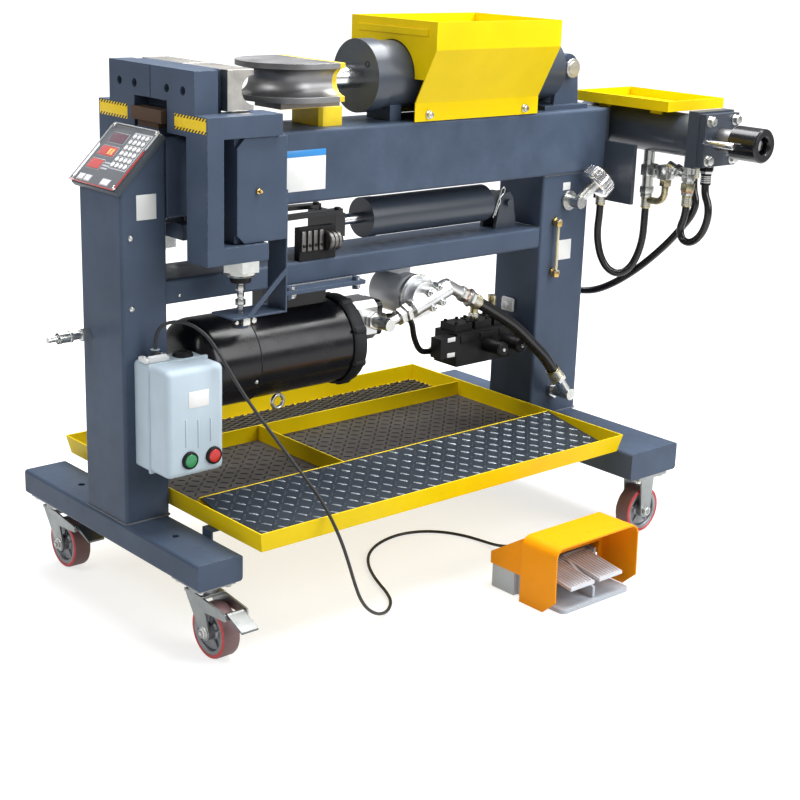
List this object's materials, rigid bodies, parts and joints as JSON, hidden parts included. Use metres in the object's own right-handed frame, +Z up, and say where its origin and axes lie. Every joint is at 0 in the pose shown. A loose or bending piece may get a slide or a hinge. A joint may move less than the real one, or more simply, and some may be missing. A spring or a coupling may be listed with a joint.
{
  "type": "hydraulic pipe bender",
  "caption": "Wheeled hydraulic pipe bender: beam on two columns with ram and bend die, swinging gates, motor and pump, pipe expander, drip tray and corded foot switch.",
  "frame": {"origin": "on the floor under the middle of the whole machine, cord and hoses left out", "axes": "+X along the beam from the control console to the expander, -Y towards the operator, +Z up"},
  "size_m": [1.915, 1.108, 1.358],
  "materials": {
    "frame_paint": "satin",
    "yellow_paint": "satin",
    "black_paint": "satin",
    "bare_steel": "worn",
    "chrome": "polished",
    "cast_aluminium": "satin",
    "zinc": "plated",
    "hose_rubber": "matte",
    "cord_rubber": "matte",
    "red_wheel": "satin",
    "grey_plastic": "satin",
    "orange_paint": "gloss",
    "grey_paint": "satin",
    "green_plastic": "gloss",
    "red_plastic": "gloss",
    "grey_panel": "satin",
    "deck_plate": "worn"
  },
  "bodies": {
    "frame": {"left_foot": "frame_paint", "right_foot": "frame_paint", "left_column": "frame_paint", "right_column": "frame_paint", "main_beam": "frame_paint", "lower_rail": "frame_paint", "hinge_boxes": "frame_paint", "clevis_bracket": "frame_paint", "angle_sensor": "frame_paint", "expander_body": "frame_paint", "cylinder_hopper": "yellow_paint", "expander_tray": "yellow_paint", "drip_tray": "yellow_paint", "motor_body": "black_paint", "motor_plate": "black_paint", "ram_cylinder": "black_paint", "return_cylinder": "black_paint", "expander_nose": "bare_steel", "gear_pump": "cast_aluminium", "oil_filter": "cast_aluminium", "valve_blocks": "cast_aluminium", "pipe_fittings": "zinc", "caster_mounts": "zinc", "suction_hose": "hose_rubber", "pressure_hose": "hose_rubber", "loop_hose": "hose_rubber", "long_hose": "hose_rubber", "outer_hose": "hose_rubber", "switch_cord": "cord_rubber", "starter_box": "grey_plastic", "starter_cover": "grey_plastic", "foot_switch_guard": "orange_paint", "foot_switch_base": "grey_paint", "control_console": "grey_panel", "tray_decks": "deck_plate"},
    "ram": {"ram_rod": "chrome", "bend_die": "bare_steel", "die_carriage": "yellow_paint"},
    "front_gate": {"front_gate": "frame_paint", "front_back_shoe": "bare_steel", "front_hinge_pin": "bare_steel"},
    "rear_gate": {"rear_gate": "frame_paint", "rear_back_shoe": "bare_steel", "rear_hinge_pin": "bare_steel"},
    "return_rod": {"return_rod": "bare_steel"},
    "rotor": {"motor_rotor": "bare_steel"},
    "start_button": {"start_button": "green_plastic"},
    "stop_button": {"stop_button": "red_plastic"},
    "left_pedal": {"left_pedal": "grey_paint"},
    "right_pedal": {"right_pedal": "grey_paint"},
    "breather_cap": {"breather_cap": "chrome"},
    "draw_rod": {"draw_rod": "chrome"},
    "front_left_swivel": {"front_left_fork": "zinc"},
    "rear_left_swivel": {"rear_left_fork": "zinc"},
    "front_left_wheel": {"front_left_wheel": "red_wheel"},
    "rear_left_wheel": {"rear_left_wheel": "red_wheel"},
    "front_right_wheel": {"front_right_wheel": "red_wheel"},
    "rear_right_wheel": {"rear_right_wheel": "red_wheel"},
    "front_left_brake": {"front_left_brake": "zinc"},
    "rear_left_brake": {"rear_left_brake": "zinc"}
  },
  "joints": [
    {"name": "ram_slide", "type": "slide", "parent": "frame", "child": "ram", "axis": [-1, 0, 0], "range_m": [0, 0.225]},
    {"name": "front_gate_hinge", "type": "hinge", "parent": "frame", "child": "front_gate", "pos_m": [-0.5905, -0.024, 1], "axis": [0, 0, 1], "range_deg": [0, 60.2]},
    {"name": "rear_gate_hinge", "type": "hinge", "parent": "frame", "child": "rear_gate", "pos_m": [-0.5905, 0.316, 1], "axis": [0, 0, 1], "range_deg": [-60.2, 0]},
    {"name": "return_slide", "type": "slide", "parent": "frame", "child": "return_rod", "axis": [-1, 0, 0], "range_m": [0, 0.085]},
    {"name": "motor_spin", "type": "hinge", "parent": "frame", "child": "rotor", "pos_m": [-0.3925, 0.126, 0.568], "axis": [1, 0, 0], "continuous": true},
    {"name": "start_press", "type": "slide", "parent": "frame", "child": "start_button", "axis": [0, 1, 0], "range_m": [0, 0.005], "stiffness_N_per_m": 500, "springref_m": -0.004},
    {"name": "stop_press", "type": "slide", "parent": "frame", "child": "stop_button", "axis": [0, 1, 0], "range_m": [0, 0.005], "stiffness_N_per_m": 500, "springref_m": -0.004},
    {"name": "left_pedal_hinge", "type": "hinge", "parent": "frame", "child": "left_pedal", "pos_m": [0.0975, -0.424, 0.066], "axis": [1, 0, 0], "range_deg": [0, 8], "stiffness_Nm_per_rad": 8, "springref_deg": -6.88},
    {"name": "right_pedal_hinge", "type": "hinge", "parent": "frame", "child": "right_pedal", "pos_m": [0.1075, -0.424, 0.066], "axis": [1, 0, 0], "range_deg": [0, 8], "stiffness_Nm_per_rad": 8, "springref_deg": -6.88},
    {"name": "breather_turn", "type": "hinge", "parent": "frame", "child": "breather_cap", "pos_m": [0.62428, 0.01206, 0.90504], "axis": [0.7222, -0.2006, 0.662], "range_deg": [0, 120]},
    {"name": "draw_slide", "type": "slide", "parent": "frame", "child": "draw_rod", "axis": [0, 1, 0], "range_m": [0, 0.05]},
    {"name": "front_left_swivel_turn", "type": "hinge", "parent": "frame", "child": "front_left_swivel", "pos_m": [-0.7975, -0.176, 0.155], "axis": [0, 0, 1], "continuous": true},
    {"name": "front_left_wheel_spin", "type": "hinge", "parent": "front_left_swivel", "child": "front_left_wheel", "pos_m": [-0.7975, -0.224, 0.0635], "axis": [1, 0, 0], "continuous": true},
    {"name": "front_left_brake_press", "type": "hinge", "parent": "front_left_swivel", "child": "front_left_brake", "pos_m": [-0.7975, -0.296, 0.1255], "axis": [1, 0, 0], "range_deg": [0, 15]},
    {"name": "rear_left_swivel_turn", "type": "hinge", "parent": "frame", "child": "rear_left_swivel", "pos_m": [-0.7975, 0.468, 0.155], "axis": [0, 0, 1], "continuous": true},
    {"name": "rear_left_wheel_spin", "type": "hinge", "parent": "rear_left_swivel", "child": "rear_left_wheel", "pos_m": [-0.7975, 0.42, 0.0635], "axis": [1, 0, 0], "continuous": true},
    {"name": "rear_left_brake_press", "type": "hinge", "parent": "rear_left_swivel", "child": "rear_left_brake", "pos_m": [-0.7975, 0.348, 0.1255], "axis": [1, 0, 0], "range_deg": [0, 15]},
    {"name": "front_right_wheel_spin", "type": "hinge", "parent": "frame", "child": "front_right_wheel", "pos_m": [0.5605, -0.284, 0.0635], "axis": [0, 1, 0], "continuous": true},
    {"name": "rear_right_wheel_spin", "type": "hinge", "parent": "frame", "child": "rear_right_wheel", "pos_m": [0.5605, 0.498, 0.0635], "axis": [0, 1, 0], "continuous": true}
  ],
  "couplings": [
    {"joint": "front_gate_hinge", "follows": "ram_slide", "rad_per_m": 4.654},
    {"joint": "rear_gate_hinge", "follows": "ram_slide", "rad_per_m": -4.654},
    {"joint": "return_slide", "follows": "ram_slide", "ratio": 0.3733}
  ]
}
